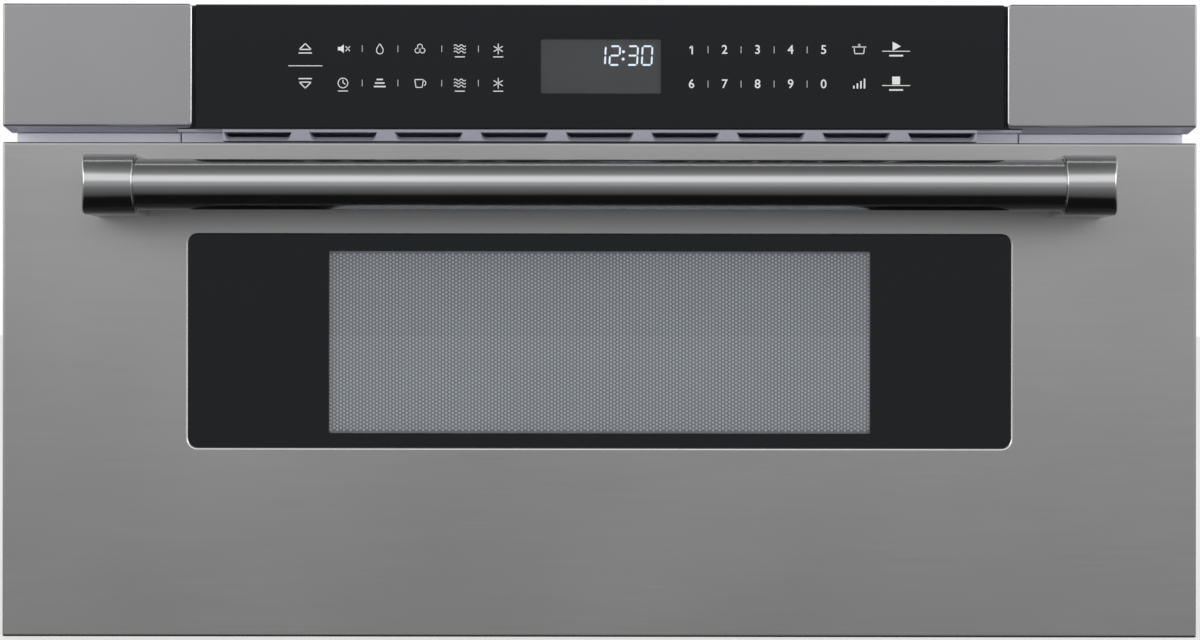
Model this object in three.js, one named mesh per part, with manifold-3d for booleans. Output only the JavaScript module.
// A built-in microwave drawer: a case that slides into a kitchen cabinet, with a motor-driven drawer
// whose door is the lower part of the front, and a control panel over a ventilation band above it.
// Millimetres. +X is the right-hand side seen from the front, the front faces -Y, and +Z is up.
import * as THREE from "three";
import { mergeVertices } from "three/addons/utils/BufferGeometryUtils.js";
import Module from "manifold-3d";

const wasm = await Module();
wasm.setup();

// ---------------------------------------------------------------- driving dimensions

// Front as a whole
const FACE_WIDTH = 759;
const DOOR_HEIGHT = 314.3;
const TRIM_HEIGHT = 78.2;
const TRIM_WIDTH = 120.3;
const TRIM_LAP = 10.5; // how far a trim's front laps over the housing's end
const TRIM_RAISE = 1.2; // the trims' lower edge above the control glass's
const DOOR_DEPTH = 22; // folded edges of the door and of the trims
const SKIN = 1.2; // stainless sheet
const SEAT = 0.3; // gap between pieces that lie on each other
const SHEET = 1; // galvanised sheet of the case

// Door window
const WINDOW_WIDTH = 523;
const WINDOW_HEIGHT = 135.4;
const WINDOW_LIFT = 120.3; // from the door's lower edge
const WINDOW_RADIUS = 6;
const WINDOW_LAP = 8; // glass hidden behind the skin all round
const WINDOW_GLASS = 4;
const SCREEN_WIDTH = 342;
const SCREEN_HEIGHT = 115;
const SCREEN_LIFT = 9.2; // from the window's lower edge
const SCREEN_RIM = 9; // unpunched edge that the frame's collar backs
const SCREEN_SHEET = 0.8;
const FRAME_SHEET = 1.5;
const INNER_GLASS = 3;
const INNER_LAP = 7;
const PLUG_DEPTH = 8; // how far the choke cover reaches into the cavity's mouth
const PLUG_DROP = 16.8; // choke cover's top below the cavity's ceiling

// Handle
const HANDLE_LENGTH = 638;
const HANDLE_DROP = 29.3; // axis below the door's upper edge
const HANDLE_REACH = 62; // how far it stands out of the door
const BAR_DIAMETER = 31.5;
const BRACKET_DIAMETER = 37;
const BRACKET_WIDTH = 33;
const BAR_SOCKET = 8; // how deep the bar's end sits in its bracket

// Control panel
const CONTROL_GAP = 1.7; // between the control glass and each end trim
const CONTROL_TOP_INSET = 0.4;
const CONTROL_SETBACK = 0.8;
const CONTROL_GLASS = 4;
const HOUSING_WALL = 2.5;
const UNDERSIDE_FALL = 2.7; // the panel's underside is this much lower at its back
const DISPLAY_WIDTH = 77;
const DISPLAY_HEIGHT = 34.4;
const DISPLAY_DROP = 22.6; // below the control glass's upper edge
const DISPLAY_DEPTH = 8.6;
const BOARD_WIDTH = 400;
const BOARD_HEIGHT = 56;
const BOARD = 1.6;
const STANDOFF = 6; // diameter of a board's standoffs

// Ventilation band
const VENT_FRONT = 1.5; // grille face behind the front plane
const VENT_DEPTH = 6; // thickness of the slotted bar
const VENT_CLEARANCE = 0.7; // above the door
const VENT_WING = 25; // least width of the plain wings beside the slots
const VENT_PITCH = 54.4;
const VENT_SLOT_WIDTH = 43;
const VENT_SLOT_HEIGHT = 5.1;
const VENT_SLOT_LIP = 0.6; // metal below a slot
const VENT_BROW = 2; // metal above a slot
const VENT_END = 0.9; // metal beside the outermost slots
const VENT_SLOT_TAPER = 2;
const VENT_RAMP = 2.6; // how far the louvre's floor climbs
const STRIP_SHEET = 1.7;

// Case behind the cabinet's face
const FACE_LAP = 27; // how far the face reaches past the case at each side
const CHASSIS_LIFT = 10;
const CHASSIS_DROP = 24.4; // case top below the face's upper edge
const CASE_LIP = 12; // folded edges of the case panels and of the cavity
const REAR_ROOM = 134.7; // behind the cavity, for the fan, magnetron and transformer
const FLANGE_INSET = 4.5; // flange edge inside the face's ends
const FLANGE_LIFT = 6;
const FLANGE_DROP = 4.4; // flange edge below the face's upper edge
const FLANGE_SHEET = 1.5;
const FLANGE_SCREW = 4.8;
const FLANGE_SCREW_LIFTS = [60, 200, 340];
const COVER_VENT_COUNT = 10;
const COVER_VENT_PITCH = 14;
const COVER_VENT_WIDTH = 5;
const COVER_VENT_LENGTH = 90;

// Drawer tub and oven cavity
const FOOD_WIDTH = 440;
const FOOD_DEPTH = 429;
const FOOD_HEIGHT = 181;
const TUB_HEIGHT = 153;
const TUB_WALL = 2.5;
const TUB_FLOOR = 3;
const TRAY = 5;
const TRAY_INSET = 5;
const TRAY_RADIUS = 14;
const CAVITY_CLEARANCE = 3; // round the tub
const STIRRER_COVER = 1.5;
const STIRRER_COVER_SIZE = 300;
const STIRRER_ROOM = 14; // between the stirrer cover and the ceiling

// Microwave system
const WAVEGUIDE_WIDTH = 86;
const WAVEGUIDE_HEIGHT = 42;
const WAVEGUIDE_OVERHANG = 45; // in front of the stirrer's axis
const PORT_DIAMETER = 36; // where the waveguide feeds the cavity
const STIRRER_VANES = 4;
const STIRRER_VANE_LENGTH = 95;
const STIRRER_VANE_WIDTH = 34;
const STIRRER_HUB = 14;
const STIRRER_SHAFT = 5;
const STIRRER_MOTOR_DIAMETER = 48;
const STIRRER_MOTOR_HEIGHT = 18;
const MAGNETRON_WIDTH = 96;
const MAGNETRON_DEPTH = 90;
const MAGNETRON_HEIGHT = 77;
const MAGNETRON_WALL = 3;
const MAGNETRON_ANODE = 40;
const MAGNETRON_FINS = 6;
const MAGNETRON_FIN = 1;
const MAGNETRON_FIN_INSET = 6; // fins behind the yoke's edges, from the side
const FILTER_BOX_HEIGHT = 30;
const FILTER_BOX_INSET = 12;
const ANTENNA_DIAMETER = 20;
const ANTENNA_HEIGHT = 18;
const CORE_WIDTH = 90;
const CORE_DEPTH = 60;
const CORE_HEIGHT = 75;
const CORE_LEG = 18; // width of each leg and yoke
const WINDING_BULGE = 18;
const TRANSFORMER_X = -150;
const CAPACITOR_WIDTH = 50;
const CAPACITOR_DEPTH = 32;
const CAPACITOR_HEIGHT = 90;
const CAPACITOR_X = 150;
const TAB = 6; // push-on terminals and small screw ears

// Cooling
const FAN_SIZE = 110;
const FAN_DEPTH = 36;
const FAN_BORE = 102;
const FAN_SWEEP = 97; // across the blades' tips
const FAN_HUB = 40;
const FAN_BLADES = 7;
const FAN_BLADE = 1.6;
const FAN_PITCH = 35; // degrees
const FAN_SPIDER = 5;
const FAN_SHAFT = 5;
const FAN_MOTOR_DIAMETER = 42;
const FAN_MOTOR_LENGTH = 30;
const FAN_X = -164; // the side that blows

// Runners
const RAIL_HEIGHT = 46;
const RAIL_DEPTH = 14;
const RAIL_SHEET = 1.5;
const RAIL_PLAY = 0.4; // room for the balls
const RAIL_LENGTH = 430;
const RAIL_LIFT = 67;
const RAIL_SIDE_ROOM = 31.5; // between the outer rail's web and the side panel
const RAIL_FOOT = 2;
const RAIL_FOOT_MARGIN = 2;
const BRACKET_SHEET = 2;
const RAIL_BRACKET_INSET = 20; // shorter than the rail at each end
const RAIL_BRACKET_FOOT = 22;
const PASSAGE = 1.5; // room round what goes through the flange

// Drive
const TRAVEL = 381;
const RACK_MODULE = 2;
const PINION_TEETH = 12;
const WHEEL_MODULE = 1;
const WHEEL_TEETH = 36;
const MOTOR_TEETH = 12;
const TOOTH_SLACK = 0.2; // share of the pitch left free between the flanks
const PRESSURE_ANGLE = 20; // degrees
const ADDENDUM = 0.8; // tip over the pitch line, in modules
const DEDENDUM = 1.1; // root under the pitch line, in modules
const RACK_SPARE = 59; // rack left behind the door when the drawer is fully out
const RACK_WIDTH = 12;
const RACK_BACK = 6; // solid bar over the teeth
const RACK_ROOM = 0.8; // under the cavity's folded lip
const RACK_FOOT_WIDTH = 30;
const RACK_FOOT_HEIGHT = 22;
const RACK_FOOT = 1.8;
const DRIVE_SETBACK = 34; // shaft behind the case's front edge
const WHEEL_CLEARANCE = 0.4; // over the gearbox bracket's floor
const DRIVE_SHAFT = 6;
const DRIVE_WALL = 1.5;
const WHEEL_WIDTH = 6;
const DRIVE_ROOM = 2.5; // beside the rack and the wheel
const DRIVE_MOTOR_DIAMETER = 34;
const DRIVE_MOTOR_LENGTH = 60;
const MOTOR_SHAFT = 4;
const BEARING_PLAY = 0.2;
const GEARBOX_HEIGHT = 38;
const GEARBOX_REACH = 22; // walls in front of and behind the axes

// Interlocks
const HOOK_ROOM = 26.5; // beside the cavity's wall
const HOOK_LIFT = 236;
const HOOK = 3;
const HOOK_LENGTH = 38;
const HOOK_HEIGHT = 14;
const HOOK_FOOT = 2;
const HOOK_FOOT_SIZE = 16;
const SWITCH_WIDTH = 21;
const SWITCH_DEPTH = 46;
const SWITCH_HEIGHT = 28;

// Lamp, mains filter and cord gland
const LAMP_DIAMETER = 26;
const LAMP_LENGTH = 26;
const LAMP_SETBACK = 60; // in front of the cavity's back wall
const LAMP_DROP = 34; // below the ceiling
const FILTER_WIDTH = 96;
const FILTER_HEIGHT = 64;
const FILTER_STANDOFF = 9;
const FILTER_INSET = 101.5; // its middle, from the side panel
const FILTER_LIFT = 210;
const COIL_DIAMETER = 26;
const COIL_HEIGHT = 14;
const GLAND_INSET = 61.5; // its axis, from the side panel
const GLAND_DROP = 43; // its axis, below the case's top
const GLAND_DIAMETER = 22;
const GLAND_LIP = 5;
const GLAND_RIM = 4;
const GLAND_BORE = 9;

// How finely curves are drawn, and how far a cutter reaches past what it cuts
const ROUND_STEPS = 28;
const HANDLE_STEPS = 56;
const CORNER_STEPS = 5;
const POST_STEPS = 10;
const OVERCUT = 1;
const GRID = 1e4; // coordinates are rounded to a ten-thousandth

// ---------------------------------------------------------------- planes and heights

const half = (value) => value / 2;

const ventBottom = DOOR_HEIGHT + VENT_CLEARANCE;
const slotBottom = ventBottom + VENT_SLOT_LIP;
const slotTop = slotBottom + VENT_SLOT_HEIGHT;
const ventTop = slotTop + VENT_BROW;
const controlBottom = ventTop + SEAT;
const trimBottom = controlBottom + TRIM_RAISE;
const faceHeight = trimBottom + TRIM_HEIGHT;
const controlTop = faceHeight - CONTROL_TOP_INSET;

const faceHalf = half(FACE_WIDTH);
const trimInner = faceHalf - TRIM_WIDTH;
const controlHalf = trimInner - CONTROL_GAP;
const housingHalf = trimInner + TRIM_LAP;
const flangeHalf = faceHalf - FLANGE_INSET;
const chassisHalf = faceHalf - FACE_LAP;
const sideInner = chassisHalf - SHEET;

// As many slots as the housing's width has room for between the wings.
const slotRoom = 2 * (housingHalf - VENT_WING - VENT_END) - VENT_SLOT_WIDTH;
const ventSlots = Math.floor(slotRoom / VENT_PITCH) + 1;
const ventHalf = half((ventSlots - 1) * VENT_PITCH + VENT_SLOT_WIDTH) + VENT_END;

const frameBack = DOOR_DEPTH - SEAT;
const flangeFront = DOOR_DEPTH + SEAT;
const cabinetFace = flangeFront + FLANGE_SHEET;
const shellFront = cabinetFace + SEAT;
const plugBack = DOOR_DEPTH + PLUG_DEPTH;
const tubFront = plugBack + SEAT;
const tubBack = plugBack + FOOD_DEPTH + TUB_WALL;
const cavityBack = tubBack + CAVITY_CLEARANCE;
const cavityMiddle = half(shellFront + cavityBack);
const shellInnerBack = cavityBack + SEAT + SHEET + REAR_ROOM;
const shellBack = shellInnerBack + SEAT + SHEET;

const baseTop = CHASSIS_LIFT + SHEET;
const chassisTop = faceHeight - CHASSIS_DROP;

// The gearbox stands on the base pan, the rack runs over its pinion, and the cavity clears the rack.
const wheelTip = half(WHEEL_MODULE * WHEEL_TEETH) + ADDENDUM * WHEEL_MODULE;
const shaftLift = baseTop + SEAT + DRIVE_WALL + WHEEL_CLEARANCE + wheelTip;
const driveAxis = [shellFront + DRIVE_SETBACK, shaftLift];
const rackPitchLine = shaftLift + half(RACK_MODULE * PINION_TEETH);
const rackTop = rackPitchLine + DEDENDUM * RACK_MODULE + RACK_BACK;
const cavityFloor = rackTop + RACK_ROOM + CASE_LIP + SHEET;

const tubLift = cavityFloor + CAVITY_CLEARANCE;
const tubFloor = tubLift + TUB_FLOOR;
const foodFloor = tubFloor + SEAT + TRAY;
const foodCeiling = foodFloor + FOOD_HEIGHT;
const cavityCeiling = foodCeiling + STIRRER_COVER + STIRRER_ROOM;
const waveguideBottom = cavityCeiling + SHEET + SEAT;
const waveguideTop = waveguideBottom + WAVEGUIDE_HEIGHT;

const tubHalf = half(FOOD_WIDTH) + TUB_WALL;
const cavityHalf = tubHalf + CAVITY_CLEARANCE;

const glassFront = SKIN + SEAT;
const glassBack = glassFront + WINDOW_GLASS;
const screenBack = glassBack + SEAT + SCREEN_SHEET;

// The panel's underside falls evenly towards the back.
const undersideAt = (y) => trimBottom - (UNDERSIDE_FALL * y) / DOOR_DEPTH;

// ---------------------------------------------------------------- solids

// A closed solid from a geometry, its corners rounded to the grid and shared.
function solid(geometry) {
  const position = geometry.getAttribute("position");
  for (let i = 0; i < position.array.length; i++)
    position.array[i] = Math.round(position.array[i] * GRID) / GRID;
  const bare = new THREE.BufferGeometry().setAttribute("position", position);
  bare.setIndex(geometry.index);
  const merged = mergeVertices(bare, 1 / GRID);
  return new wasm.Manifold(
    new wasm.Mesh({
      numProp: 3,
      vertProperties: merged.attributes.position.array,
      triVerts: new Uint32Array(merged.index.array),
    }),
  );
}

const join = (first, ...others) => others.reduce((whole, other) => whole.add(other), first);
const cut = (first, ...others) => others.reduce((whole, other) => whole.subtract(other), first);

function boxGeometry([x0, x1], [y0, y1], [z0, z1]) {
  const geometry = new THREE.BoxGeometry(x1 - x0, y1 - y0, z1 - z0);
  return geometry.translate(half(x0 + x1), half(y0 + y1), half(z0 + z1));
}

const box = (x, y, z) => solid(boxGeometry(x, y, z));

// A prism along X has an outline of [y, z], along Y of [x, z] and along Z of [x, y].
const ALONG = {
  X: new THREE.Matrix4().set(0, 0, 1, 0, 1, 0, 0, 0, 0, 1, 0, 0, 0, 0, 0, 1),
  Y: new THREE.Matrix4().set(1, 0, 0, 0, 0, 0, -1, 0, 0, 1, 0, 0, 0, 0, 0, 1),
  Z: new THREE.Matrix4(),
};

function prismGeometry(axis, outline, from, to) {
  const shape = new THREE.Shape(outline.map(([u, v]) => new THREE.Vector2(u, v)));
  const geometry = new THREE.ExtrudeGeometry(shape, { depth: to - from, bevelEnabled: false });
  geometry.applyMatrix4(ALONG[axis]);
  return geometry.translate(
    axis === "X" ? from : 0,
    axis === "Y" ? to : 0,
    axis === "Z" ? from : 0,
  );
}

const prism = (axis, outline, from, to) => solid(prismGeometry(axis, outline, from, to));

function arc([u, v], radius, start, end, steps) {
  const points = [];
  for (let i = 0; i <= steps; i++) {
    const angle = start + ((end - start) * i) / steps;
    points.push([u + radius * Math.cos(angle), v + radius * Math.sin(angle)]);
  }
  return points;
}

const circle = (centre, diameter, steps = ROUND_STEPS) =>
  arc(centre, half(diameter), 0, 2 * Math.PI, steps).slice(0, -1);

const rod = (axis, centre, diameter, from, to, steps) =>
  prism(axis, circle(centre, diameter, steps), from, to);

function roundedRectangle([u0, u1], [v0, v1], radius) {
  const quarter = half(Math.PI);
  const corners = [
    [u1 - radius, v1 - radius],
    [u0 + radius, v1 - radius],
    [u0 + radius, v0 + radius],
    [u1 - radius, v0 + radius],
  ];
  return corners.flatMap((corner, i) =>
    arc(corner, radius, i * quarter, (i + 1) * quarter, CORNER_STEPS),
  );
}

const about = (middle, size) => [middle - half(size), middle + half(size)];
const over = (low, size) => [low, low + size];
const past = ([low, high], margin = OVERCUT) => [low - margin, high + margin];

// A span given for the right-hand side, put on the side that the sign names.
const onSide = (side, [near, far]) => (side > 0 ? [near, far] : [-far, -near]);

// ---------------------------------------------------------------- scene graph

const finish = (color, roughness, metalness) =>
  new THREE.MeshStandardMaterial({ color, roughness, metalness });

const STAINLESS = [0x8e8f92, 0.34, 1];
const HANDLE_STEEL = [0x77797c, 0.22, 1];
const GALVANISED = [0xa9abb4, 0.45, 0.9];
const CAVITY_ENAMEL = [0xb9bbbd, 0.4, 0.2];
const BLACK_GLASS = [0x1d1e20, 0.06, 0];
const CLEAR_GLASS = [0xcfd6d6, 0.05, 0];
const BLACK_PLASTIC = [0x1b1c1e, 0.55, 0];
const GREY_PLASTIC = [0x8d9094, 0.5, 0];
const CERAMIC = [0xe9e7e1, 0.3, 0];
const MICA = [0xc9b98f, 0.6, 0];
const BOARD_GREEN = [0x2c5d3a, 0.5, 0];
const COPPER = [0xa2603a, 0.4, 0.8];
const CORE_STEEL = [0x5b5d60, 0.5, 0.8];
const ALUMINIUM = [0xb4b7bb, 0.4, 0.9];
const NYLON = [0xdedbd0, 0.5, 0];

const assembly = new THREE.Group();
const chassis = new THREE.Group();
const drawer = new THREE.Group();
assembly.add(chassis, drawer);

// Makes a solid into a named piece of a group.
function piece(group, name, body, look) {
  const { vertProperties, triVerts } = body.getMesh();
  const geometry = new THREE.BufferGeometry();
  geometry.setAttribute("position", new THREE.BufferAttribute(vertProperties, 3));
  geometry.setIndex(new THREE.BufferAttribute(triVerts, 1));
  geometry.computeVertexNormals();
  const mesh = new THREE.Mesh(geometry, finish(...look));
  mesh.name = name;
  group.add(mesh);
  return mesh;
}

const SIDES = [
  ["left", -1],
  ["right", 1],
];

// ---------------------------------------------------------------- case

const glandAxis = [sideInner - GLAND_INSET, chassisTop - GLAND_DROP];

// What passes through the flange, as spans of x and z for the right-hand side.
const railBand = over(RAIL_LIFT, RAIL_HEIGHT);
const railOutside = sideInner - RAIL_SIDE_ROOM;
const railSpan = [railOutside - RAIL_DEPTH, railOutside];
const railFootX = past([railSpan[0], railSpan[1] - RAIL_SHEET - RAIL_PLAY], RAIL_FOOT_MARGIN);
const railFootZ = past(railBand, -RAIL_SHEET);
const hookOffset = cavityHalf + HOOK_ROOM;
const hookFootX = about(hookOffset, HOOK_FOOT_SIZE);
const hookFootZ = about(HOOK_LIFT, HOOK_FOOT_SIZE);

const displayX = about(0, DISPLAY_WIDTH);
const displayZ = over(controlTop - DISPLAY_DROP - DISPLAY_HEIGHT, DISPLAY_HEIGHT);
const rackFootX = about(0, RACK_FOOT_WIDTH);
const rackFootZ = about(rackPitchLine + half(RACK_BACK), RACK_FOOT_HEIGHT);

function frontFlange() {
  const sheet = past([flangeFront, cabinetFace]);
  const window = (x, z) => box(x, sheet, z);
  const airWay = [slotBottom, undersideAt(DOOR_DEPTH) - SKIN - SEAT];
  let plate = cut(
    box(
      [-flangeHalf, flangeHalf],
      [flangeFront, cabinetFace],
      [FLANGE_LIFT, faceHeight - FLANGE_DROP],
    ),
    window([-cavityHalf, cavityHalf], [cavityFloor, cavityCeiling]),
    window(past(rackFootX, PASSAGE), past(rackFootZ, PASSAGE)),
    window([SKIN - ventHalf, ventHalf - SKIN], airWay),
    window(displayX, displayZ),
  );
  const screwX = half(flangeHalf + chassisHalf);
  for (const [, side] of SIDES) {
    plate = cut(
      plate,
      window(onSide(side, past(railFootX, PASSAGE)), past(railBand, PASSAGE)),
      window(onSide(side, past(hookFootX, PASSAGE)), past(hookFootZ, PASSAGE)),
      ...FLANGE_SCREW_LIFTS.map((z) => rod("Y", [side * screwX, z], FLANGE_SCREW, ...sheet)),
    );
  }
  return plate;
}

// A row of long ventilation slots: cutters through a flat panel, evenly spaced about a middle.
function ventRow(makeSlot) {
  return Array.from({ length: COVER_VENT_COUNT }, (_, i) =>
    makeSlot(about((i - half(COVER_VENT_COUNT - 1)) * COVER_VENT_PITCH, COVER_VENT_WIDTH)),
  );
}

function buildCase() {
  const lipY = [shellFront + SHEET + SEAT, shellInnerBack - SHEET - SEAT];
  const lipOutside = sideInner - SEAT;
  const lipX = [lipOutside - SHEET, lipOutside];

  piece(chassis, "front_flange", frontFlange(), GALVANISED);

  const pan = join(
    box([-lipOutside, lipOutside], lipY, over(CHASSIS_LIFT, SHEET)),
    ...SIDES.map(([, side]) => box(onSide(side, lipX), lipY, over(CHASSIS_LIFT, CASE_LIP))),
  );
  piece(chassis, "base_pan", pan, GALVANISED);

  const coverBottom = chassisTop - SHEET;
  const cover = join(
    box([-chassisHalf, chassisHalf], [shellFront, shellInnerBack], [coverBottom, chassisTop]),
    ...SIDES.map(([, side]) => box(onSide(side, lipX), lipY, [chassisTop - CASE_LIP, coverBottom])),
  );
  const coverVents = SIDES.flatMap(([, side]) =>
    ventRow((y) =>
      box(
        about(side * half(chassisHalf), COVER_VENT_LENGTH),
        y.map((value) => value + cavityMiddle),
        past([coverBottom, chassisTop]),
      ),
    ),
  );
  piece(chassis, "top_cover", cut(cover, ...coverVents), GALVANISED);

  const wallZ = [CHASSIS_LIFT, coverBottom - SEAT];
  for (const [name, side] of SIDES) {
    const lip = onSide(side, [sideInner - CASE_LIP, sideInner]);
    const panel = join(
      box(onSide(side, [sideInner, chassisHalf]), [shellFront, shellInnerBack], wallZ),
      box(lip, over(shellFront, SHEET), wallZ),
      box(lip, [shellInnerBack - SHEET, shellInnerBack], wallZ),
    );
    piece(chassis, `side_panel_${name}`, panel, GALVANISED);
  }

  const backSheet = [shellBack - SHEET, shellBack];
  const backVents = ventRow((z) =>
    box(
      about(TRANSFORMER_X, COVER_VENT_LENGTH),
      past(backSheet),
      z.map((value) => value + half(faceHeight)),
    ),
  );
  const back = cut(
    box([-chassisHalf, chassisHalf], backSheet, [CHASSIS_LIFT, chassisTop]),
    rod("Y", glandAxis, GLAND_DIAMETER + 2 * SEAT, ...past(backSheet)),
    ...backVents,
  );
  piece(chassis, "back_panel", back, GALVANISED);
}

// ---------------------------------------------------------------- oven cavity

const lampAxis = [cavityBack - LAMP_SETBACK, cavityCeiling - LAMP_DROP];

function buildCavity() {
  const outerX = [-cavityHalf - SHEET, cavityHalf + SHEET];
  const outerZ = [cavityFloor - SHEET, cavityCeiling + SHEET];
  const sleeve = cut(
    join(
      box(outerX, [shellFront, cavityBack], outerZ),
      box(past(outerX, CASE_LIP), over(shellFront, SHEET), past(outerZ, CASE_LIP)),
    ),
    box([-cavityHalf, cavityHalf], past([shellFront, cavityBack]), [cavityFloor, cavityCeiling]),
    rod("Z", [0, cavityMiddle], PORT_DIAMETER, ...past([cavityCeiling, cavityCeiling + SHEET])),
    rod("X", lampAxis, half(LAMP_DIAMETER) + 2 * SEAT, ...past([cavityHalf, cavityHalf + SHEET])),
  );
  piece(chassis, "cavity_sleeve", sleeve, CAVITY_ENAMEL);
  piece(chassis, "cavity_back", box(outerX, over(cavityBack + SEAT, SHEET), outerZ), CAVITY_ENAMEL);

  const coverX = about(0, STIRRER_COVER_SIZE);
  const coverY = about(cavityMiddle, STIRRER_COVER_SIZE);
  const cover = cut(
    box(coverX, coverY, [foodCeiling, cavityCeiling - SEAT]),
    box(past(coverX, -STIRRER_COVER), past(coverY, -STIRRER_COVER), [
      foodCeiling + STIRRER_COVER,
      cavityCeiling,
    ]),
  );
  piece(chassis, "stirrer_cover", cover, MICA);

  const [lampY, lampZ] = lampAxis;
  const lampFoot = cavityHalf + SHEET + SEAT;
  const ear = [past(about(lampY, LAMP_DIAMETER), TAB), about(lampZ, half(LAMP_DIAMETER))];
  const lamp = join(
    rod("X", lampAxis, LAMP_DIAMETER, ...over(lampFoot, LAMP_LENGTH)),
    rod("X", lampAxis, half(LAMP_DIAMETER), cavityHalf, lampFoot),
    box(over(lampFoot, SHEET), ...ear),
  );
  piece(chassis, "oven_lamp", lamp, NYLON);
}

// ---------------------------------------------------------------- microwave system

const magnetronTop = waveguideBottom - SEAT;
const fanAxis = [shellInnerBack - half(FAN_SIZE), magnetronTop - half(MAGNETRON_HEIGHT)];
const antennaY = fanAxis[0];

function buildWaveguide() {
  const x = about(0, WAVEGUIDE_WIDTH);
  const y = [cavityMiddle - WAVEGUIDE_OVERHANG, shellInnerBack - SEAT];
  const z = [waveguideBottom, waveguideTop];
  const lowerWall = past(over(waveguideBottom, SHEET));
  const upperWall = past([waveguideTop - SHEET, waveguideTop]);
  const guide = cut(
    box(x, y, z),
    box(past(x, -SHEET), past(y, -SHEET), past(z, -SHEET)),
    rod("Z", [0, cavityMiddle], PORT_DIAMETER, ...lowerWall),
    rod("Z", [0, cavityMiddle], STIRRER_SHAFT + 2 * SHEET, ...upperWall),
    rod("Z", [0, antennaY], ANTENNA_DIAMETER + 2 * SHEET, ...lowerWall),
  );
  piece(chassis, "waveguide", guide, GALVANISED);
}

function buildStirrer() {
  const motorFoot = waveguideTop + SEAT;
  const motor = join(
    rod("Z", [0, cavityMiddle], STIRRER_MOTOR_DIAMETER, ...over(motorFoot, STIRRER_MOTOR_HEIGHT)),
    box(
      past(about(0, STIRRER_MOTOR_DIAMETER), TAB),
      about(cavityMiddle, half(STIRRER_MOTOR_DIAMETER)),
      over(motorFoot, SHEET),
    ),
  );
  piece(chassis, "stirrer_motor", motor, NYLON);

  // The blade turns about its own axis, half way up the room over the cover.
  const hubBottom = foodCeiling + STIRRER_COVER + half(SHEET);
  const vaneHeight = half(STIRRER_ROOM) - half(SHEET);
  let blade = join(
    rod("Z", [0, 0], STIRRER_HUB, 0, vaneHeight + half(SHEET)),
    rod("Z", [0, 0], STIRRER_SHAFT, 0, waveguideTop - hubBottom),
  );
  for (let i = 0; i < STIRRER_VANES; i++) {
    const vane = boxGeometry(
      [0, STIRRER_VANE_LENGTH],
      about(0, STIRRER_VANE_WIDTH),
      over(half(vaneHeight), SHEET),
    );
    blade = join(blade, solid(vane.rotateZ((2 * Math.PI * i) / STIRRER_VANES)));
  }
  const mesh = piece(chassis, "stirrer_blade", blade, ALUMINIUM);
  mesh.position.set(0, cavityMiddle, hubBottom);
}

// Yoke, cooling fins round the anode, filter box below and the antenna on top, as one fitted unit.
function buildMagnetron() {
  const x = about(0, MAGNETRON_WIDTH);
  const y = about(antennaY, MAGNETRON_DEPTH);
  const z = [magnetronTop - MAGNETRON_HEIGHT, magnetronTop];
  const airWay = past(z, -MAGNETRON_WALL);
  const finPitch = (airWay[1] - airWay[0]) / (MAGNETRON_FINS + 1);
  const finX = past(x, -MAGNETRON_FIN_INSET);
  const finY = past(y, -half(MAGNETRON_WALL));
  const fins = Array.from({ length: MAGNETRON_FINS }, (_, i) =>
    box(finX, finY, about(airWay[0] + finPitch * (i + 1), MAGNETRON_FIN)),
  );
  const filterBox = [past(x, -FILTER_BOX_INSET), past(y, -FILTER_BOX_INSET)];
  const unit = join(
    cut(box(x, y, z), box(past(x), past(y, -MAGNETRON_WALL), airWay)),
    rod("Z", [0, antennaY], MAGNETRON_ANODE, z[0], z[1]),
    rod("Z", [0, antennaY], ANTENNA_DIAMETER, z[1], z[1] + ANTENNA_HEIGHT),
    box(...filterBox, [z[0] - FILTER_BOX_HEIGHT, z[0]]),
    ...fins,
  );
  piece(chassis, "magnetron", unit, ALUMINIUM);
}

// A laminated core with a window on each side of its middle leg, and one winding round that leg.
function buildTransformer() {
  const x = about(TRANSFORMER_X, CORE_WIDTH);
  const y = about(antennaY, CORE_DEPTH);
  const z = over(baseTop + SEAT, CORE_HEIGHT);
  const windowZ = past(z, -CORE_LEG);
  const legX = about(TRANSFORMER_X, CORE_LEG);
  const winding = past(x, -CORE_LEG);
  const core = cut(
    box(x, y, z),
    box([winding[0], legX[0]], past(y), windowZ),
    box([legX[1], winding[1]], past(y), windowZ),
  );
  piece(chassis, "transformer_core", core, CORE_STEEL);
  const coil = cut(
    box(past(winding, -SEAT), past(y, WINDING_BULGE), past(windowZ, -SEAT)),
    box(past(legX, SEAT), past(y, SEAT), past(windowZ)),
  );
  piece(chassis, "transformer_winding", coil, COPPER);
}

function buildCapacitor() {
  const foot = baseTop + SEAT;
  const can = roundedRectangle(
    about(CAPACITOR_X, CAPACITOR_WIDTH),
    about(antennaY, CAPACITOR_DEPTH),
    half(CAPACITOR_DEPTH) - SEAT,
  );
  const tabs = [-1, 1].map((way) =>
    box(
      about(CAPACITOR_X + way * half(half(CAPACITOR_WIDTH)), TAB),
      about(antennaY, SHEET),
      over(foot + CAPACITOR_HEIGHT, 2 * TAB),
    ),
  );
  const strap = box(
    past(about(CAPACITOR_X, CAPACITOR_WIDTH), 2 * TAB),
    about(antennaY, half(CAPACITOR_DEPTH)),
    over(foot, SHEET),
  );
  const unit = join(prism("Z", can, ...over(foot, CAPACITOR_HEIGHT)), strap, ...tabs);
  piece(chassis, "capacitor", unit, ALUMINIUM);
}

// ---------------------------------------------------------------- cooling

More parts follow.
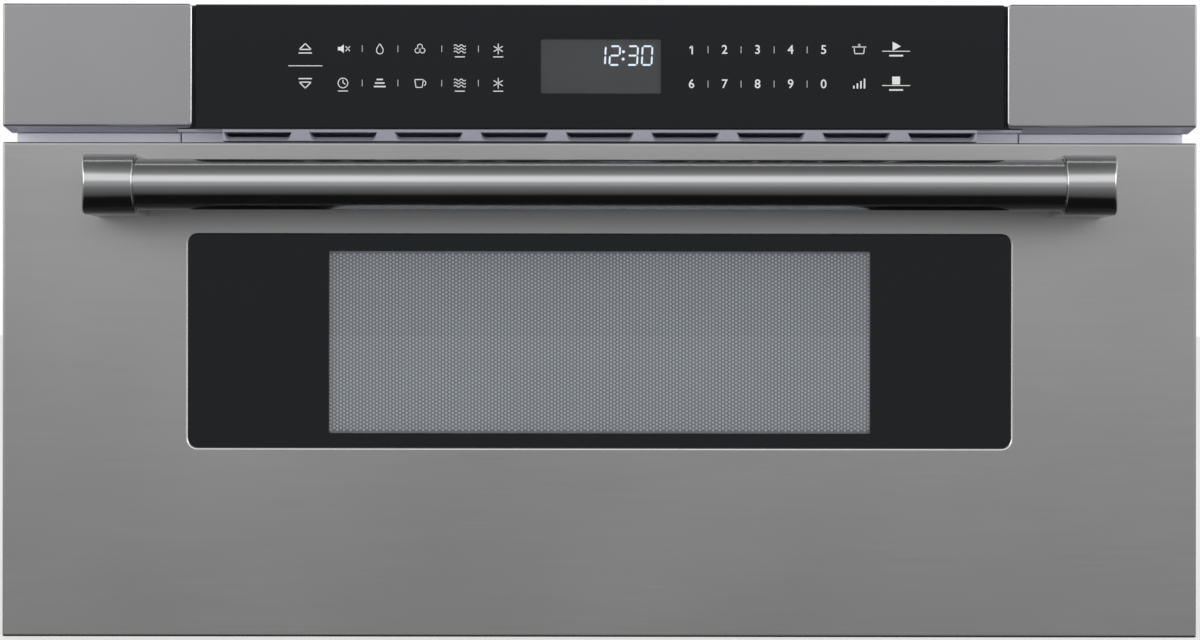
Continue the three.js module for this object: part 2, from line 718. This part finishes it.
function buildCooling() {
  const [fanY, fanZ] = fanAxis;
  const x = [FAN_X - FAN_DEPTH, FAN_X];
  const spider = over(x[0], FAN_SPIDER);
  const arms = [
    box(spider, about(fanY, FAN_BORE + SEAT), about(fanZ, FAN_SPIDER)),
    box(spider, about(fanY, FAN_SPIDER), about(fanZ, FAN_BORE + SEAT)),
    rod("X", fanAxis, FAN_MOTOR_DIAMETER, ...spider),
  ];
  const housing = cut(
    join(
      cut(
        box(x, about(fanY, FAN_SIZE), about(fanZ, FAN_SIZE)),
        rod("X", fanAxis, FAN_BORE, ...past(x)),
      ),
      ...arms,
    ),
    rod("X", fanAxis, FAN_SHAFT + 2 * BEARING_PLAY, ...past(spider)),
  );
  piece(chassis, "fan_housing", housing, BLACK_PLASTIC);

  const motorFace = x[0] - SEAT;
  const motor = join(
    rod("X", fanAxis, FAN_MOTOR_DIAMETER, motorFace - FAN_MOTOR_LENGTH, motorFace),
    rod("X", fanAxis, half(FAN_MOTOR_DIAMETER), motorFace - FAN_MOTOR_LENGTH - TAB, motorFace),
  );
  piece(chassis, "fan_motor", motor, CORE_STEEL);

  // The impeller turns about X, with its hub's near face just off the spider.
  const hub = [spider[1] + FAN_BLADE, FAN_X - FAN_BLADE];
  const hubLength = hub[1] - hub[0];
  let impeller = rod("X", [0, 0], FAN_HUB, 0, hubLength);
  const pitch = THREE.MathUtils.degToRad(FAN_PITCH);
  const chord = (hubLength - FAN_BLADE) / Math.cos(pitch);
  for (let i = 0; i < FAN_BLADES; i++) {
    const blade = boxGeometry(about(0, chord), about(0, FAN_BLADE), [half(half(FAN_HUB)), FAN_SWEEP])
      .rotateZ(pitch)
      .translate(half(hubLength), 0, 0)
      .rotateX((2 * Math.PI * i) / FAN_BLADES);
    impeller = join(impeller, solid(blade));
  }
  const tips = rod("X", [0, 0], FAN_SWEEP, 0, hubLength);
  const shaft = rod("X", [0, 0], FAN_SHAFT, x[0] - hub[0], 0);
  const mesh = piece(chassis, "fan_impeller", join(impeller.intersect(tips), shaft), BLACK_PLASTIC);
  mesh.position.set(hub[0], fanY, fanZ);

  // The duct leads the air from the fan to the magnetron's fins.
  const duct = [FAN_X + SEAT, -half(MAGNETRON_WIDTH) - SEAT];
  const ductY = about(fanY, MAGNETRON_DEPTH);
  const ductZ = about(fanZ, MAGNETRON_HEIGHT);
  const tube = cut(
    box(duct, ductY, ductZ),
    box(past(duct), past(ductY, -SHEET), past(ductZ, -SHEET)),
  );
  piece(chassis, "air_duct", tube, GALVANISED);
}

// ---------------------------------------------------------------- runners

// Three nested channels a side: the outer one opens inwards, the middle one fits in it, and the
// drawer's channel opens outwards inside that. Each is a web and two lips as wide as the rail.
function channel(side, [x0, x1], [z0, z1], y, webOutside) {
  const web = webOutside ? [x1 - RAIL_SHEET, x1] : [x0, x0 + RAIL_SHEET];
  return join(
    box(onSide(side, web), y, [z0, z1]),
    box(onSide(side, [x0, x1]), y, [z0, z0 + RAIL_SHEET]),
    box(onSide(side, [x0, x1]), y, [z1 - RAIL_SHEET, z1]),
  );
}

function buildRunners() {
  const start = DOOR_DEPTH + RAIL_FOOT + 2 * SEAT + FLANGE_SHEET;
  const y = over(start, RAIL_LENGTH);
  const nest = RAIL_SHEET + RAIL_PLAY;
  for (const [name, side] of SIDES) {
    const [x0, x1] = railSpan;
    const outer = channel(side, [x0, x1], railBand, y, true);
    piece(chassis, `rail_outer_${name}`, outer, GALVANISED);
    const middleBand = past(railBand, -nest);
    const middle = channel(side, [x0, x1 - nest], middleBand, y, true);
    piece(chassis, `rail_middle_${name}`, middle, GALVANISED);
    const innerBand = past(middleBand, -nest);
    const foot = [DOOR_DEPTH, DOOR_DEPTH + RAIL_FOOT];
    const inner = join(
      channel(side, [x0, x1 - 2 * nest], innerBand, [foot[1], y[1]], false),
      box(onSide(side, railFootX), foot, railFootZ),
    );
    piece(drawer, `rail_inner_${name}`, inner, GALVANISED);

    const webX = over(railOutside + SEAT, BRACKET_SHEET);
    const footX = over(webX[0], RAIL_BRACKET_FOOT);
    const reach = past(y, -RAIL_BRACKET_INSET);
    const bracket = join(
      box(onSide(side, webX), reach, [baseTop + SEAT, railBand[1]]),
      box(onSide(side, footX), reach, over(baseTop + SEAT, BRACKET_SHEET)),
    );
    piece(chassis, `rail_bracket_${name}`, bracket, GALVANISED);
  }
}

// ---------------------------------------------------------------- drive

// Half of a straight-flanked tooth's width at a height over the pitch line.
const flankSlope = Math.tan(THREE.MathUtils.degToRad(PRESSURE_ANGLE));
const toothHalf = (size, height) =>
  half(half(Math.PI * size * (1 - TOOTH_SLACK))) - height * flankSlope;

// A gear's outline about its centre, with one tooth pointing along +V.
function gearOutline(teeth, size) {
  const pitch = half(size * teeth);
  const tip = pitch + ADDENDUM * size;
  const root = pitch - DEDENDUM * size;
  const tipAngle = toothHalf(size, ADDENDUM * size) / tip;
  const rootAngle = toothHalf(size, -half(DEDENDUM) * size) / root;
  const points = [];
  for (let i = 0; i < teeth; i++) {
    const middle = half(Math.PI) + (2 * Math.PI * i) / teeth;
    for (const [radius, angle] of [
      [root, -rootAngle],
      [tip, -tipAngle],
      [tip, tipAngle],
      [root, rootAngle],
    ]) {
      points.push([radius * Math.cos(middle + angle), radius * Math.sin(middle + angle)]);
    }
  }
  return points;
}

// The rack's side view: a bar with teeth below it, one gap standing over the pinion's axis.
function rackOutline([front, back]) {
  const pitch = Math.PI * RACK_MODULE;
  const tip = rackPitchLine - ADDENDUM * RACK_MODULE;
  const root = rackTop - RACK_BACK;
  const tipHalf = toothHalf(RACK_MODULE, ADDENDUM * RACK_MODULE);
  const rootHalf = toothHalf(RACK_MODULE, -DEDENDUM * RACK_MODULE);
  const points = [[front, rackTop], [front, root]];
  const [gap] = driveAxis;
  for (let i = Math.ceil((front - gap) / pitch); ; i++) {
    const middle = gap + half((2 * i + 1) * pitch);
    if (middle + rootHalf >= back) break;
    if (middle - rootHalf <= front) continue;
    points.push([middle - rootHalf, root], [middle - tipHalf, tip]);
    points.push([middle + tipHalf, tip], [middle + rootHalf, root]);
  }
  points.push([back, root], [back, rackTop]);
  return points;
}

function buildDrive() {
  const [shaftY, shaftZ] = driveAxis;
  const centres = half(WHEEL_MODULE * (WHEEL_TEETH + MOTOR_TEETH));
  const motorY = shaftY + centres;
  const rackX = about(0, RACK_WIDTH);
  const leftWall = [rackX[0] - DRIVE_ROOM - DRIVE_WALL, rackX[0] - DRIVE_ROOM];
  const rightWall = over(rackX[1] + DRIVE_ROOM, DRIVE_WALL);
  const wheelX = over(rightWall[1] + half(DRIVE_ROOM), WHEEL_WIDTH);
  const motorWall = over(wheelX[1] + half(DRIVE_ROOM), DRIVE_WALL);
  const foot = baseTop + SEAT;

  const rackFoot = over(DOOR_DEPTH, RACK_FOOT);
  const rack = join(
    prism("X", rackOutline([rackFoot[1], DOOR_DEPTH + TRAVEL + RACK_SPARE]), ...rackX),
    box(rackFootX, rackFoot, rackFootZ),
  );
  piece(drawer, "gear_rack", rack, NYLON);

  const shaft = join(
    prism("X", gearOutline(PINION_TEETH, RACK_MODULE), ...rackX),
    prism("X", gearOutline(WHEEL_TEETH, WHEEL_MODULE), ...wheelX),
    rod("X", [0, 0], DRIVE_SHAFT, leftWall[0] - DRIVE_ROOM, wheelX[1]),
  );
  const shaftMesh = piece(chassis, "drive_shaft", shaft, NYLON);
  shaftMesh.position.set(0, shaftY, shaftZ);

  // The motor gear is turned so that a gap of its meets the wheel's tooth on the line of centres.
  const motorTeeth = prismGeometry("X", gearOutline(MOTOR_TEETH, WHEEL_MODULE), ...wheelX);
  const mesh = half(Math.PI) * (1 - WHEEL_TEETH / MOTOR_TEETH) - Math.PI / MOTOR_TEETH;
  const motorGear = join(
    solid(motorTeeth.rotateX(mesh)),
    rod("X", [0, 0], MOTOR_SHAFT, wheelX[0], motorWall[1]),
  );
  const motorGearMesh = piece(chassis, "motor_gear", motorGear, NYLON);
  motorGearMesh.position.set(0, motorY, shaftZ);

  const wallY = [shaftY - GEARBOX_REACH, motorY + GEARBOX_REACH];
  const wall = (x) => box(x, wallY, over(foot, GEARBOX_HEIGHT));
  const bearing = DRIVE_SHAFT + 2 * BEARING_PLAY;
  const bracket = cut(
    join(
      box([leftWall[0], motorWall[1]], wallY, over(foot, DRIVE_WALL)),
      wall(leftWall),
      wall(rightWall),
      wall(motorWall),
    ),
    rod("X", driveAxis, bearing, leftWall[0] - OVERCUT, rightWall[1] + OVERCUT),
    rod("X", [motorY, shaftZ], MOTOR_SHAFT + 2 * BEARING_PLAY, ...past(motorWall)),
  );
  piece(chassis, "gearbox_bracket", bracket, GALVANISED);

  const motorFace = motorWall[1] + SEAT;
  const motorCap = over(motorFace, DRIVE_MOTOR_LENGTH + TAB);
  const motor = join(
    rod("X", [motorY, shaftZ], DRIVE_MOTOR_DIAMETER, ...over(motorFace, DRIVE_MOTOR_LENGTH)),
    rod("X", [motorY, shaftZ], half(DRIVE_MOTOR_DIAMETER), ...motorCap),
  );
  piece(chassis, "drive_motor", motor, CORE_STEEL);
}

// ---------------------------------------------------------------- interlocks

function buildInterlocks() {
  const foot = over(DOOR_DEPTH, HOOK_FOOT);
  const tip = foot[1] + HOOK_LENGTH;
  const nose = half(HOOK_HEIGHT);
  for (const [name, side] of SIDES) {
    const outline = [
      [foot[1], HOOK_LIFT - nose],
      [tip - nose, HOOK_LIFT - nose],
      [tip, HOOK_LIFT],
      [tip, HOOK_LIFT + nose],
      [tip - nose, HOOK_LIFT + nose],
      [tip - nose, HOOK_LIFT + half(nose)],
      [foot[1], HOOK_LIFT + half(nose)],
    ];
    const hook = join(
      box(onSide(side, hookFootX), foot, hookFootZ),
      prism("X", outline, ...onSide(side, about(hookOffset, HOOK))),
    );
    piece(drawer, `interlock_hook_${name}`, hook, NYLON);

    const near = hookFootX[1] + PASSAGE + SHEET;
    const bodyX = onSide(side, over(near, SWITCH_WIDTH));
    const leverX = onSide(side, [hookOffset + half(HOOK) + 2 * SEAT, near]);
    const leverY = about(shellFront + half(HOOK_LENGTH), TAB);
    const holder = join(
      box(bodyX, over(shellFront, SWITCH_DEPTH), about(HOOK_LIFT, SWITCH_HEIGHT)),
      box(leverX, leverY, about(HOOK_LIFT - half(nose), half(nose))),
    );
    piece(chassis, `switch_holder_${name}`, holder, BLACK_PLASTIC);
  }
}

// ---------------------------------------------------------------- mains side

// Standoffs under the four corners of a board that stands upright, given by its middle and its size.
function boardPosts([middleX, middleZ], [width, height], y) {
  return [-1, 1].flatMap((u) =>
    [-1, 1].map((v) => {
      const corner = [
        middleX + u * (half(width) - STANDOFF),
        middleZ + v * (half(height) - STANDOFF),
      ];
      return rod("Y", corner, STANDOFF, ...y, POST_STEPS);
    }),
  );
}

function buildMains() {
  const boardBack = shellInnerBack - FILTER_STANDOFF;
  const boardY = [boardBack - BOARD, boardBack];
  const partsY = [boardY[0] - COIL_HEIGHT, boardBack];
  const middleX = sideInner - FILTER_INSET;
  const middleZ = FILTER_LIFT + half(FILTER_HEIGHT);
  const posts = boardPosts(
    [middleX, middleZ],
    [FILTER_WIDTH, FILTER_HEIGHT],
    [boardY[0], shellInnerBack],
  );
  const filter = join(
    box(about(middleX, FILTER_WIDTH), boardY, about(middleZ, FILTER_HEIGHT)),
    ...posts,
    rod("Y", [middleX - half(COIL_DIAMETER), middleZ], COIL_DIAMETER, ...partsY),
    box(over(middleX + TAB, COIL_DIAMETER), partsY, about(middleZ, half(COIL_DIAMETER))),
  );
  piece(chassis, "noise_filter", filter, BOARD_GREEN);

  const outside = shellBack + SEAT;
  const gland = cut(
    join(
      rod("Y", glandAxis, GLAND_DIAMETER + 2 * GLAND_RIM, ...over(outside, GLAND_LIP)),
      rod("Y", glandAxis, GLAND_DIAMETER, shellInnerBack - GLAND_LIP, outside),
      rod("Y", glandAxis, GLAND_DIAMETER + GLAND_RIM, shellInnerBack - GLAND_LIP, shellInnerBack),
    ),
    rod("Y", glandAxis, GLAND_BORE, ...past([shellInnerBack - GLAND_LIP, outside + GLAND_LIP])),
  );
  piece(chassis, "cord_gland", gland, BLACK_PLASTIC);
}

// ---------------------------------------------------------------- control panel

// The panel's outline from the side, its walls moved in by an inset.
const panelSection = (inset, front, back, top) => [
  [front, undersideAt(front) + inset],
  [back, undersideAt(back) + inset],
  [back, top - inset],
  [front, top - inset],
];

const housingFront = CONTROL_SETBACK + CONTROL_GLASS + SEAT;
const boardFront = housingFront + DISPLAY_DEPTH + SEAT;

function buildControls() {
  const glassY = over(CONTROL_SETBACK, CONTROL_GLASS);
  const glass = box([-controlHalf, controlHalf], glassY, [controlBottom, controlTop]);
  piece(chassis, "control_glass", glass, BLACK_GLASS);

  // The housing is open at its back, and the display looks through its front.
  const housingTop = controlTop - SEAT;
  const x = [-housingHalf, housingHalf];
  const housing = cut(
    prism("X", panelSection(0, housingFront, DOOR_DEPTH, housingTop), ...x),
    prism(
      "X",
      panelSection(HOUSING_WALL, housingFront + HOUSING_WALL, DOOR_DEPTH + OVERCUT, housingTop),
      ...past(x, -HOUSING_WALL),
    ),
    box(past(displayX, SEAT), past(over(housingFront, HOUSING_WALL)), past(displayZ, SEAT)),
  );
  piece(chassis, "control_housing", housing, BLACK_PLASTIC);

  const display = box(displayX, over(housingFront, DISPLAY_DEPTH), displayZ);
  piece(chassis, "display_module", display, BLACK_PLASTIC);

  const middleZ = half(displayZ[0] + displayZ[1]);
  const posts = boardPosts(
    [0, middleZ],
    [BOARD_WIDTH, BOARD_HEIGHT],
    [housingFront + HOUSING_WALL + SEAT, boardFront],
  );
  const boardZ = about(middleZ, BOARD_HEIGHT);
  const board = join(box(about(0, BOARD_WIDTH), over(boardFront, BOARD), boardZ), ...posts);
  piece(chassis, "control_board", board, BOARD_GREEN);
}

// An end trim is a folded cap, open to the back, whose front laps over the housing's end.
function buildTrims() {
  const capX = [housingHalf + SEAT, faceHalf];
  for (const [name, side] of SIDES) {
    const hollow = onSide(side, [capX[0] - OVERCUT, faceHalf - SKIN]);
    const cap = join(
      cut(
        prism("X", panelSection(0, 0, DOOR_DEPTH, faceHeight), ...onSide(side, capX)),
        prism("X", panelSection(SKIN, SKIN, DOOR_DEPTH + OVERCUT, faceHeight), ...hollow),
      ),
      box(onSide(side, [trimInner, capX[0]]), [0, SKIN], [trimBottom, faceHeight]),
    );
    piece(chassis, `trim_${name}`, cap, STAINLESS);
  }
}

// ---------------------------------------------------------------- ventilation band

function buildVents() {
  const topBack = undersideAt(DOOR_DEPTH) - SEAT;
  const barBack = VENT_FRONT + VENT_DEPTH;
  const fall = (ventTop - topBack) / (DOOR_DEPTH - VENT_FRONT);

  const hood = [
    [VENT_FRONT, ventBottom],
    [barBack, ventBottom],
    [barBack, ventTop - fall * VENT_DEPTH - SKIN],
    [DOOR_DEPTH, topBack - SKIN],
    [DOOR_DEPTH, topBack],
    [VENT_FRONT, ventTop],
  ];
  const cheek = [
    [VENT_FRONT, ventBottom],
    [DOOR_DEPTH, ventBottom],
    [DOOR_DEPTH, topBack],
    [VENT_FRONT, ventTop],
  ];
  const stripY = [DOOR_DEPTH - STRIP_SHEET, DOOR_DEPTH];
  const stripZ = [ventBottom, topBack];
  const endWall = [ventHalf - SKIN, ventHalf];

  let grille = prism("X", hood, -ventHalf, ventHalf);
  for (const [, side] of SIDES) {
    grille = join(
      grille,
      prism("X", cheek, ...onSide(side, endWall)),
      box(onSide(side, [ventHalf, housingHalf]), stripY, stripZ),
    );
  }
  // Each slot is wider at its top, and its floor climbs towards the back.
  const ramp = [
    [VENT_FRONT, slotBottom],
    [barBack + OVERCUT, slotBottom],
    [barBack + OVERCUT, slotBottom + VENT_RAMP],
  ];
  for (let i = 0; i < ventSlots; i++) {
    const middle = (i - half(ventSlots - 1)) * VENT_PITCH;
    const [left, right] = about(middle, VENT_SLOT_WIDTH);
    const mouth = [
      [left + VENT_SLOT_TAPER, slotBottom],
      [right - VENT_SLOT_TAPER, slotBottom],
      [right, slotTop],
      [left, slotTop],
    ];
    const cutter = prism("Y", mouth, VENT_FRONT - OVERCUT, barBack + OVERCUT);
    grille = cut(grille, cut(cutter, prism("X", ramp, ...past([left, right]))));
  }
  piece(chassis, "vent_grille", grille, GALVANISED);

  for (const [name, side] of SIDES) {
    const strip = box(onSide(side, [housingHalf + SEAT, flangeHalf]), stripY, stripZ);
    piece(chassis, `vent_strip_${name}`, strip, GALVANISED);
  }
}

// ---------------------------------------------------------------- door

function buildDoor() {
  const faceX = [-faceHalf, faceHalf];
  const windowX = about(0, WINDOW_WIDTH);
  const windowZ = over(WINDOW_LIFT, WINDOW_HEIGHT);
  const skin = cut(
    box(faceX, [0, DOOR_DEPTH], [0, DOOR_HEIGHT]),
    box(past(faceX, -SKIN), [SKIN, DOOR_DEPTH + OVERCUT], past([0, DOOR_HEIGHT], -SKIN)),
    prism("Y", roundedRectangle(windowX, windowZ, WINDOW_RADIUS), ...past([0, SKIN])),
  );
  piece(drawer, "door_skin", skin, STAINLESS);

  const glass = box(past(windowX, WINDOW_LAP), [glassFront, glassBack], past(windowZ, WINDOW_LAP));
  piece(drawer, "window_glass", glass, BLACK_GLASS);

  const openX = about(0, SCREEN_WIDTH);
  const openZ = over(WINDOW_LIFT + SCREEN_LIFT, SCREEN_HEIGHT);
  const collarX = past(openX, SCREEN_RIM);
  const collarZ = past(openZ, SCREEN_RIM);
  const screen = box(collarX, [glassBack + SEAT, screenBack], collarZ);
  piece(drawer, "perforated_screen", screen, CORE_STEEL);

  // The frame is a shallow pan inside the skin, with a collar round the opening.
  const frameX = past(faceX, -SKIN - SEAT);
  const frameZ = past([0, DOOR_HEIGHT], -SKIN - SEAT);
  const panY = [0, frameBack - FRAME_SHEET];
  const frame = cut(
    join(
      cut(
        box(frameX, [glassFront, frameBack], frameZ),
        box(past(frameX, -FRAME_SHEET), panY, past(frameZ, -FRAME_SHEET)),
      ),
      box(collarX, [screenBack + SEAT, frameBack], collarZ),
    ),
    box(openX, [0, DOOR_DEPTH], openZ),
  );
  piece(drawer, "door_frame", frame, GALVANISED);

  const plugX = [-tubHalf, tubHalf];
  const plugZ = [tubLift, cavityCeiling - PLUG_DROP];
  const rebate = plugBack - INNER_GLASS - SEAT;
  const cover = cut(
    box(plugX, [DOOR_DEPTH, plugBack], plugZ),
    box(openX, past([DOOR_DEPTH, plugBack]), openZ),
    box(
      past(openX, INNER_LAP + SEAT),
      [rebate, plugBack + OVERCUT],
      past(openZ, INNER_LAP + SEAT),
    ),
  );
  piece(drawer, "choke_cover", cover, BLACK_PLASTIC);
  const pane = box(past(openX, INNER_LAP), [rebate + SEAT, plugBack], past(openZ, INNER_LAP));
  piece(drawer, "inner_glass", pane, CLEAR_GLASS);
}

// A bracket is round in front and flat above and below, back to the door; the bar ends inside it.
function buildHandle() {
  const axis = [half(BRACKET_DIAMETER) - HANDLE_REACH, DOOR_HEIGHT - HANDLE_DROP];
  const quarter = half(Math.PI);
  const nose = arc(axis, half(BRACKET_DIAMETER), quarter, 3 * quarter, half(HANDLE_STEPS));
  const outline = [...nose, [-SEAT, nose.at(-1)[1]], [-SEAT, nose[0][1]]];
  const innerFace = half(HANDLE_LENGTH) - BRACKET_WIDTH;
  for (const [name, side] of SIDES) {
    const bracket = cut(
      prism("X", outline, ...onSide(side, over(innerFace, BRACKET_WIDTH))),
      rod(
        "X",
        axis,
        BAR_DIAMETER + 2 * SEAT,
        ...onSide(side, [innerFace - OVERCUT, innerFace + BAR_SOCKET]),
        HANDLE_STEPS,
      ),
    );
    piece(drawer, `handle_bracket_${name}`, bracket, HANDLE_STEEL);
  }
  const reach = innerFace + BAR_SOCKET - SEAT;
  const bar = rod("X", axis, BAR_DIAMETER, -reach, reach, HANDLE_STEPS);
  piece(drawer, "handle_bar", bar, HANDLE_STEEL);
}

// ---------------------------------------------------------------- tub

function buildTub() {
  const innerHalf = half(FOOD_WIDTH);
  const innerBack = tubBack - TUB_WALL;
  const tubZ = over(tubLift, TUB_HEIGHT);
  const tub = cut(
    box([-tubHalf, tubHalf], [tubFront, tubBack], tubZ),
    box([-innerHalf, innerHalf], [tubFront - OVERCUT, innerBack], [tubFloor, tubZ[1] + OVERCUT]),
  );
  piece(drawer, "drawer_tub", tub, GREY_PLASTIC);
  const tray = roundedRectangle(
    past([-innerHalf, innerHalf], -TRAY_INSET),
    [tubFront + TRAY_INSET, innerBack - TRAY_INSET],
    TRAY_RADIUS,
  );
  piece(drawer, "tray_plate", prism("Z", tray, tubFloor + SEAT, foodFloor), CERAMIC);
}

buildCase();
buildCavity();
buildWaveguide();
buildStirrer();
buildMagnetron();
buildTransformer();
buildCapacitor();
buildCooling();
buildRunners();
buildDrive();
buildInterlocks();
buildMains();
buildControls();
buildTrims();
buildVents();
buildDoor();
buildHandle();
buildTub();

// The origin is in the middle of the plan, level with the door's lower edge.
const rearMost = shellBack + SEAT + GLAND_LIP;
assembly.position.y = half(HANDLE_REACH - rearMost);

const microwaveDrawer = new THREE.Group();
microwaveDrawer.add(assembly);

export default microwaveDrawer;
